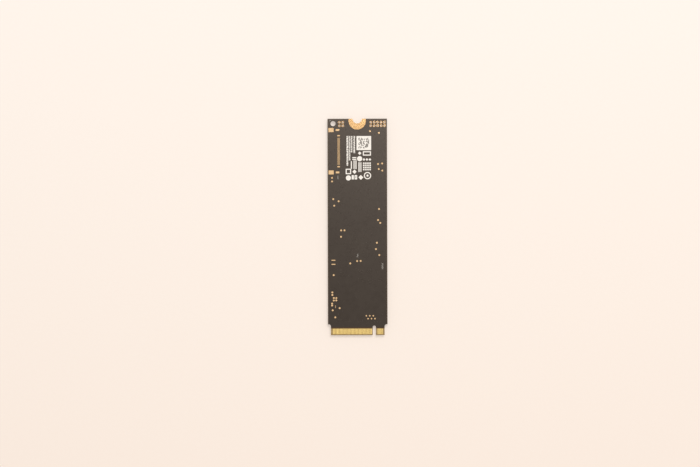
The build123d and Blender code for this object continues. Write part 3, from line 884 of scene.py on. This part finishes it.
def strokeTree():
    tree, start = startTree("strokeNodes", {"Soft": printLook["soft"]})
    frameCurve = out(tree, "GeometryNodeCurvePrimitiveQuadrilateral", {0: 1.0, 1: 1.0})
    base = out(tree, "GeometryNodeFillCurve", {0: frameCurve}, mode="NGONS")
    mesh, top = grow(tree, base, True, printLook["wallShare"])
    mesh, top = grow(tree, mesh, top, 1 - printLook["wallShare"], start["Soft"], start["Soft"])
    return endTree(tree, start, onPoints(tree, start, closeBase(tree, base, mesh), size="size"))


strokeNodes = strokeTree()


def makeStrokes(name, node, shareOf, widths):
    chance = random.Random(printLook["seed"])
    places, sizes = [], []
    for low, high in islands(node):
        middle = centre((low, high))
        share = shareOf(middle)
        width = high.x - low.x
        count = max(1, round((high.y - low.y) / printLook["pitch"]))
        pitch = (high.y - low.y) / count
        for i in range(count):
            reach = width * chance.choice(widths)
            shift = chance.choice((-0.5, 0.5)) * (width - reach)
            places.append((middle.x + shift, low.y + (i + 0.5) * pitch, low.z))
            sizes.append((reach, pitch * share, printLook["inkHeight"]))
    mesh = runTree(strokeNodes, pointCloud(places, {"size": sizes}), {}, "white_ink")
    finishPiece(name, [mesh], [node])


def textShare(spot):
    left, right = printLook["denseBeyond"]
    return printLook["thinShare"] if left <= spot.x <= right else printLook["denseShare"]


makeStrokes("printText", "printed_text_lines", textShare, printLook["raggedWidths"])
makeStrokes("printMarks", "print_ticks", lambda spot: printLook["faintShare"], (1.0,))
print("print ready")


# Vias under the mask, and the traces that run between them

viaLook = {
    "radius": 0.24 * mm,
    "rise": 0.011 * mm,
    "sides": 16,
    "shoulder": 0.86,
    "mouth": 0.5,
    "bottom": 0.6,
    "sink": 0.7,
    "room": 0.08 * mm,
    "apart": 0.55 * mm,
    "seed": 5,
}
# package: (pitch of its vias, share of the places that has one)
fanOut = {"controller": (0.8 * mm, 0.5), "memory_1": (1.0 * mm, 0.3), "memory_2": (1.0 * mm, 0.3)}
edgeRows = {"inset": 0.85 * mm, "start": 6 * mm, "pitch": 2.3 * mm, "count": 31}
tipRows = {"count": 17, "pitch": 1.0 * mm, "shift": 0.25 * mm, "lower": 4.7 * mm, "upper": 5.6 * mm}
powerBlock = {"count": 5, "pitch": 1.0 * mm}
coilBlock = {"columns": 3, "pitchX": 0.65 * mm, "rows": 2, "pitchY": 0.6 * mm, "gap": 0.45 * mm}
looseVias = {"count": 60, "x": (-9.5, 9.5), "y": (-33, 36)}  # ranges in mm
traceLook = {
    "width": 0.13 * mm,
    "topShare": 0.7,
    "rise": 0.009 * mm,
    "clear": 0.2 * mm,
    "cell": 0.05 * mm,
    "shortest": 0.8 * mm,
}
leadLook = {
    "tries": 24,
    "step": 0.1 * mm,
    "gap": 0.05 * mm,
    "same": 0.1 * mm,  # centres closer than this are one pad
    "slant": (0.4, 1.5),  # ranges in mm
    "outward": (0.5, 1.6),
    "along": (0.3, 2.4),
}
bendLean = 0.41  # about the tangent of half of a 45 degree bend
# Bundles: (count, pitch, path of (x, y, lean)), in mm
busBundles = [
    (7, 0.3, [(-2.2, 31.5, 0), (-2.2, 10.5, 0), (-3.9, 8.8, -1), (-3.9, 1.2, -1)]),
    (7, 0.3, [(6.9, 18.5, 0), (6.9, 9.2, 0), (5.2, 7.5, 1), (5.2, 0.4, 1)]),
    (5, 0.3, [(-7.2, 26.0, 0), (-7.2, 12.0, 0), (-5.6, 10.4, -1), (-5.6, -1.6, -1)]),
]
supplyBundles = [
    (3, 0.45, [(-9.4, 33.0, 0), (-9.4, -20.5, 0)]),
    (2, 0.4, [(9.2, 16.0, 0), (9.2, -29.0, 0)]),
    (4, 0.32, [(2.2, 9.6, 0), (2.2, 3.1, 0), (0.4, 1.3, 1), (0.4, -9.2, 1)]),
]
# Pairs down to the contacts, in mm: each starts at one x, bends, and ends at another
pairLook = {
    "count": 8, "pitch": 0.26, "fromX": -4.0, "fromPitch": 1.15, "toX": -7.4, "toPitch": 1.9,
    "top": -9.0, "stagger": 0.5, "bend": -24.0, "bottom": -35.4}


def grown(boxes, margin):
    edge = Vector((margin, margin, 0))
    return [(low - edge, high + edge) for low, high in boxes]


def inside(x, y, boxes):
    return any(low.x < x < high.x and low.y < y < high.y for low, high in boxes)


def flatBox(x0, y0, x1, y1):
    return (Vector((x0, y0, 0)), Vector((x1, y1, 0)))


backPadNodes = [
    "test_pads", "staggered_test_pads", "connector_fine_pads", "connector_anchor_pads", "connector_side_pads",
    "spare_part_pads", "header_barrels_ten", "header_barrels_four", "screw_land_back",
]
frontPartNodes = jointTerminals + [
    "large_capacitor_bodies", "small_capacitor_bodies", "resistor_bodies", "inductor_cores", "solder_joints",
    "header_barrels_ten", "header_barrels_four",
]
# Places in mm, the slot and the shoulders measured from the tip
cutOutPlaces = {"toolingHole": (-9.9, 37.28, -8.0, 39.18), "keySlot": (5.5, 6.8, 3.6), "shoulder": (1.9, 4.9)}
tip = boardLow.y
maskEdge = tip + 2.95 * mm  # the mask starts here, above the bare tongue
slotLeft, slotRight, slotDepth = (value * mm for value in cutOutPlaces["keySlot"])
shoulderWidth, shoulderEnd = (value * mm for value in cutOutPlaces["shoulder"])
cutOuts = [
    flatBox(*(value * mm for value in cutOutPlaces["toolingHole"])),
    flatBox(slotLeft, tip, slotRight, tip + slotDepth),
    flatBox(boardLow.x, tip, boardLow.x + shoulderWidth, tip + shoulderEnd),
    flatBox(boardHigh.x - shoulderWidth, tip, boardHigh.x, tip + shoulderEnd),
]
backPads = [box for node in backPadNodes for box in islands(node)]
frontParts = [box for node in frontPartNodes for box in islands(node)]
frontParts += [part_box(f"{name}_substrate") for name in ("memory_1", "memory_2", "controller")]
frontParts += [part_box(f"{name}_body") for name in ("power_manager", "load_switch", "temperature_sensor")]
frontParts += [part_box("crystal_base"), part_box("screw_land_front")]


def cell(x, y):
    return round(x / traceLook["cell"]), round(y / traceLook["cell"])


def cover(taken, x, y, reach):
    # Marks the cells of a fine grid that lie within reach of a point
    column, row = cell(x, y)
    span = math.ceil(reach / traceLook["cell"])
    for i in range(-span, span + 1):
        for j in range(-span, span + 1):
            if math.hypot(i, j) <= span:
                taken.add((column + i, row + j))


def stepsAlong(path, step):
    # Points at even steps along a path, each with a mark at a corner or an end
    for (x0, y0), (x1, y1) in zip(path, path[1:]):
        count = max(1, round(math.hypot(x1 - x0, y1 - y0) / step))
        for i in range(count + 1):
            yield x0 + (x1 - x0) * i / count, y0 + (y1 - y0) * i / count, i in (0, count)


def free(x, y, boxes, margin, taken=()):
    room = abs(x) < boardHigh.x - margin and maskEdge + margin < y < boardHigh.y - margin
    return room and cell(x, y) not in taken and not inside(x, y, grown(boxes + cutOuts, margin))


def viaPlaces():
    # Fan-out between the balls, rows along the edges and the tip, blocks in the power section, loose ones
    chance = random.Random(viaLook["seed"])
    wanted = []
    for name, (pitch, share) in fanOut.items():
        low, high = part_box(f"{name}_balls")
        for i in range(int((high.x - low.x) / pitch)):
            for j in range(int((high.y - low.y) / pitch)):
                if chance.random() < share:
                    wanted.append((low.x + (i + 0.75) * pitch, low.y + (j + 0.75) * pitch))
    for i in range(edgeRows["count"]):
        y = tip + edgeRows["start"] + i * edgeRows["pitch"]
        wanted += [(boardLow.x + edgeRows["inset"], y), (boardHigh.x - edgeRows["inset"], y)]
    for i in range(tipRows["count"]):
        x = (i - tipRows["count"] // 2) * tipRows["pitch"]
        wanted.append((x + tipRows["shift"], tip + tipRows["lower"]))
        if i % 3:
            wanted.append((x - tipRows["shift"], tip + tipRows["upper"]))
    low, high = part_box("power_manager_body")
    pitch = powerBlock["pitch"]
    for i in range(powerBlock["count"]):
        for j in range(powerBlock["count"]):
            wanted.append((low.x + (i + 0.5) * pitch, low.y + (j + 0.5) * pitch))
    for box in islands("inductor_cores"):
        for i in range(coilBlock["columns"]):
            for j in range(coilBlock["rows"]):
                x = centre(box).x + (i - coilBlock["columns"] // 2) * coilBlock["pitchX"]
                wanted.append((x, box[0].y - coilBlock["gap"] - j * coilBlock["pitchY"]))
    for i in range(looseVias["count"]):
        wanted.append((chance.uniform(*looseVias["x"]) * mm, chance.uniform(*looseVias["y"]) * mm))
    kept = []
    for x, y in wanted:
        if all((x - a) ** 2 + (y - b) ** 2 > viaLook["apart"] ** 2 for a, b in kept):
            kept.append((x, y))
    return kept


def viaTree():
    # A low tented mound with a dimple where the mask sinks into the hole
    look = viaLook
    tree, start = startTree("viaNodes", {"Radius": look["radius"], "Rise": look["rise"], "Turn": 0.0})
    feeds = {"Vertices": look["sides"], "Radius": start["Radius"]}
    base = out(tree, "GeometryNodeMeshCircle", feeds, fill_type="NGON")
    sink = calc(tree, "MULTIPLY", start["Rise"], -look["sink"])
    mesh, top = grow(tree, base, True, start["Rise"], look["shoulder"], look["shoulder"])
    mesh, top = grow(tree, mesh, top, 0.0, look["mouth"], look["mouth"])
    mesh, top = grow(tree, mesh, top, sink, look["bottom"], look["bottom"])
    return endTree(tree, start, onPoints(tree, start, closeBase(tree, base, mesh), turn="Turn"))


def traceTree():
    look = traceLook
    tree, start = startTree("traceNodes", {"Width": look["width"], "Rise": look["rise"]})
    path = out(tree, "GeometryNodeMeshToCurve", {0: start["Geometry"]})
    path = out(tree, "GeometryNodeSetCurveNormal", {"Curve": path}, mode="Z_UP")
    feeds = {
        "Bottom Width": start["Width"], "Top Width": calc(tree, "MULTIPLY", start["Width"], look["topShare"]),
        "Height": start["Rise"], "Offset": 0.0}
    section = out(tree, "GeometryNodeCurvePrimitiveQuadrilateral", feeds, mode="TRAPEZOID")
    strip = out(tree, "GeometryNodeCurveToMesh", {
        "Curve": path, "Profile Curve": section, "Fill Caps": True})
    return endTree(tree, start, strip)


def clippedRuns(path, boxes, margin, taken):
    # Parts of a path that keep clear of the pads, the cut-outs and what lies there already
    runs, run = [], []
    for x, y, corner in stepsAlong(path, 2 * traceLook["cell"]):
        if free(x, y, boxes, margin, taken):
            if not run or (x, y) != run[-1][:2]:
                run.append((x, y, corner))
        else:
            runs.append(run)
            run = []
    runs.append(run)
    # Only the ends and the corners are kept
    kept = []
    for run in runs:
        if run and math.dist(run[0][:2], run[-1][:2]) > traceLook["shortest"]:
            kept.append([(x, y) for n, (x, y, corner) in enumerate(run) if corner or n in (0, len(run) - 1)])
    return kept


def bundle(count, pitch, path):
    # Parallel traces beside one path
    rows = []
    for i in range(count):
        shift = (i - (count - 1) / 2) * pitch
        rows.append([((x + shift) * mm, (y + shift * bendLean * lean) * mm) for x, y, lean in path])
    return rows


def backPaths():
    # Memory bus to the controller, pairs from there to the contacts, then supply and control lines
    look = pairLook
    paths = [path for row in busBundles for path in bundle(*row)]
    for i in range(look["count"]):
        x = look["toX"] + look["toPitch"] * i
        start = look["fromX"] + look["fromPitch"] * i
        bend = abs(x - start)
        paths += bundle(2, look["pitch"], [
            (start, look["top"] - look["stagger"] * (i % 3), 0), (start, look["bend"] + bend / 2, 0),
            (x, look["bend"] - bend / 2, 0), (x, look["bottom"], 0)])
    return paths + [path for row in supplyBundles for path in bundle(*row)]


def padPaths(taken):
    # A short lead from each test pad to a via of its own
    look = leadLook
    chance = random.Random(viaLook["seed"] + 1)
    reach = traceLook["width"] + traceLook["clear"]
    paths, ends = [], []
    for box in islands("test_pads") + islands("staggered_test_pads"):
        spot = centre(box)
        radius = (box[1].x - box[0].x) / 2
        others = [other for other in backPads if (centre(other) - spot).xy.length > look["same"]]
        for attempt in range(look["tries"]):
            sign = -1 if spot.x > 0 else 1
            up = chance.choice((-1, 1))
            slant = chance.uniform(*look["slant"]) * mm
            a = (spot.x + sign * (radius + look["gap"]), spot.y)
            b = (a[0] + sign * chance.uniform(*look["outward"]) * mm, a[1])
            c = (b[0] + sign * slant, b[1] + up * slant)
            d = (c[0], c[1] + up * chance.uniform(*look["along"]) * mm)
            end = (d[0], d[1] + up * viaLook["radius"])
            spots = [(x, y) for x, y, corner in stepsAlong([a, b, c, d, end], look["step"])]
            if all(free(x, y, others, traceLook["clear"], taken) for x, y in spots):
                paths.append([a, b, c, d])
                ends.append(end)
                for x, y, corner in stepsAlong([a, b, c, end], look["step"]):
                    cover(taken, x, y, reach)
                cover(taken, *end, viaLook["radius"] + traceLook["clear"])
                break
    return paths, ends


def pathMesh(paths, z):
    verts, edges = [], []
    for path in paths:
        for i, (x, y) in enumerate(path):
            verts.append((x, y, z))
            if i:
                edges.append((len(verts) - 2, len(verts) - 1))
    mesh = bpy.data.meshes.new("paths")
    mesh.from_pydata(verts, edges, [])
    return mesh


viaNodes = viaTree()
traceNodes = traceTree()
taken = set()
leads, leadEnds = padPaths(taken)
throughVias = viaPlaces()
viaRoom = viaLook["radius"] + viaLook["room"]
backVias = [(x, y) for x, y in throughVias if free(x, y, backPads, viaRoom, taken)]
frontVias = [(x, y) for x, y in throughVias if free(x, y, frontParts, viaRoom)]
for x, y in backVias:
    cover(taken, x, y, viaLook["radius"])
runs = leads[:]
for path in backPaths():
    runs += clippedRuns(path, backPads, traceLook["clear"], taken)
backVias += leadEnds


def makeVias(name, places, z, turn):
    values = {"Radius": viaLook["radius"], "Rise": viaLook["rise"], "Turn": turn}
    mesh = runTree(viaNodes, pointCloud([(x, y, z) for x, y in places]), values, "black_mask")
    finishPiece(name, [mesh])


makeVias("viasBack", backVias, backZ, 0.0)
makeVias("viasFront", frontVias, frontZ, math.pi)
traceHeight = backZ + traceLook["rise"] / 2
values = {"Width": traceLook["width"], "Rise": traceLook["rise"]}
mesh = runTree(traceNodes, pathMesh(runs, traceHeight), values, "black_mask")
finishPiece("tracesBack", [mesh])
print(f"{len(backVias)} vias on the back, {len(frontVias)} on the component side, {len(runs)} traces")


# Camera, floor and light

cameraLook = {
    "lens": 100.0,
    "sensor": 36.0,
    "x": -2.78 * mm,
    "y": -2.44 * mm,
    "above": 718.9 * mm,
    "turn": -0.16,
    "clip": (0.01, 20.0),
}
floorLook = {
    "far": colour(255, 245, 236),
    # Painted shade: the near tone darkens the floor towards -Y, away from the lamp
    "near": colour(252, 236, 223),
    "reach": 110 * mm,
    "lift": 0.5,
    "plainFrom": 0.2,
    "plainTo": 0.8,
    "roughness": 0.9,
    "fleckScale": 900.0,
    "fleck": 0.05,
    "size": 3.0,
}
lightLook = {
    "keyPlace": (0.13, 0.386, 1.03),
    "keySize": 0.6,
    "keyPower": 8.0,
    "keyColour": (1.0, 1.0, 1.0),
    "fill": 0.45,
    "fillColour": (1.0, 0.985, 0.965, 1.0),
}


def makeCamera():
    look = cameraLook
    data = bpy.data.cameras.new("camera")
    data.lens = look["lens"]
    data.sensor_width = look["sensor"]
    data.clip_start, data.clip_end = look["clip"]
    camera = newObject("camera", data)
    camera.location = (look["x"], look["y"], backZ + look["above"])
    camera.rotation_euler = (0, 0, math.radians(look["turn"]))
    bpy.context.scene.camera = camera


def makeFloor():
    look = floorLook
    half = look["size"] / 2
    corners = [(-half, -half, 0), (half, -half, 0), (half, half, 0), (-half, half, 0)]
    mesh = bpy.data.meshes.new("floor")
    mesh.from_pydata(corners, [], [(0, 1, 2, 3)])
    floor = newObject("floor", mesh)
    material, tree, shader, coords = startMaterial(
        "paleFloor", Roughness=look["roughness"], Specular_IOR_Level=0.0)
    # Painted shade: the floor's colour darkens towards -Y, away from the lamp, and stands in for the light's
    # falloff
    along = put(tree, "ShaderNodeSeparateXYZ", {0: coords}).outputs[1]
    tone = spread(tree, along, -look["reach"], look["reach"])
    fleck = noise(tree, coords, look["fleckScale"], 3.0)
    tone = calc(tree, "ADD", tone, spread(tree, fleck, *noiseRange, -look["fleck"], look["fleck"]))
    base = mixColour(tree, tone, look["near"], look["far"])
    feed(tree, shader, Base_Color=base)
    # The camera sees the pale ground itself for one share, which keeps the object's shadow soft,
    # and nothing else far from the object, where the lamp doesn't reach
    away = put(tree, "ShaderNodeVectorMath", {0: coords}, operation="LENGTH").outputs["Value"]
    lift = spread(tree, away, look["plainFrom"], look["plainTo"], look["lift"], 1.0)
    seen = put(tree, "ShaderNodeLightPath").outputs["Is Camera Ray"]
    plain = out(tree, "ShaderNodeEmission", {0: base, 1: 1.0})
    share = calc(tree, "MULTIPLY", seen, lift)
    lifted = out(tree, "ShaderNodeMixShader", {0: share, 1: shader.outputs[0], 2: plain})
    tree.links.new(lifted, tree.nodes["Material Output"].inputs[0])
    floor.data.materials.append(material)


def makeLight():
    look = lightLook
    data = bpy.data.lights.new("keyLight", "AREA")
    data.shape = "DISK"
    data.size = look["keySize"]
    data.energy = look["keyPower"]
    data.color = look["keyColour"]
    key = newObject("keyLight", data)
    place = Vector(look["keyPlace"])
    key.matrix_world = Matrix.Translation(place) @ (-place).to_track_quat("-Z", "Y").to_matrix().to_4x4()
    world = bpy.data.worlds.new("paleRoom")
    world.use_nodes = True
    bpy.context.scene.world = world
    tree = world.node_tree
    tree.nodes.clear()
    path = put(tree, "ShaderNodeLightPath").outputs
    shown = calc(tree, "MAXIMUM", path["Is Camera Ray"], path["Is Transmission Ray"])
    shown = calc(tree, "MAXIMUM", shown, path["Is Glossy Ray"])
    fill = put(tree, "ShaderNodeBackground", {0: look["fillColour"], 1: look["fill"]})
    pale = put(tree, "ShaderNodeBackground", {0: floorLook["far"], 1: 1.0})
    mixed = put(tree, "ShaderNodeMixShader", {0: shown, 1: fill.outputs[0], 2: pale.outputs[0]})
    put(tree, "ShaderNodeOutputWorld", {0: mixed.outputs[0]})
    bpy.context.scene.view_settings.view_transform = "Standard"


makeCamera()
makeFloor()
makeLight()
print("camera, floor and light ready")
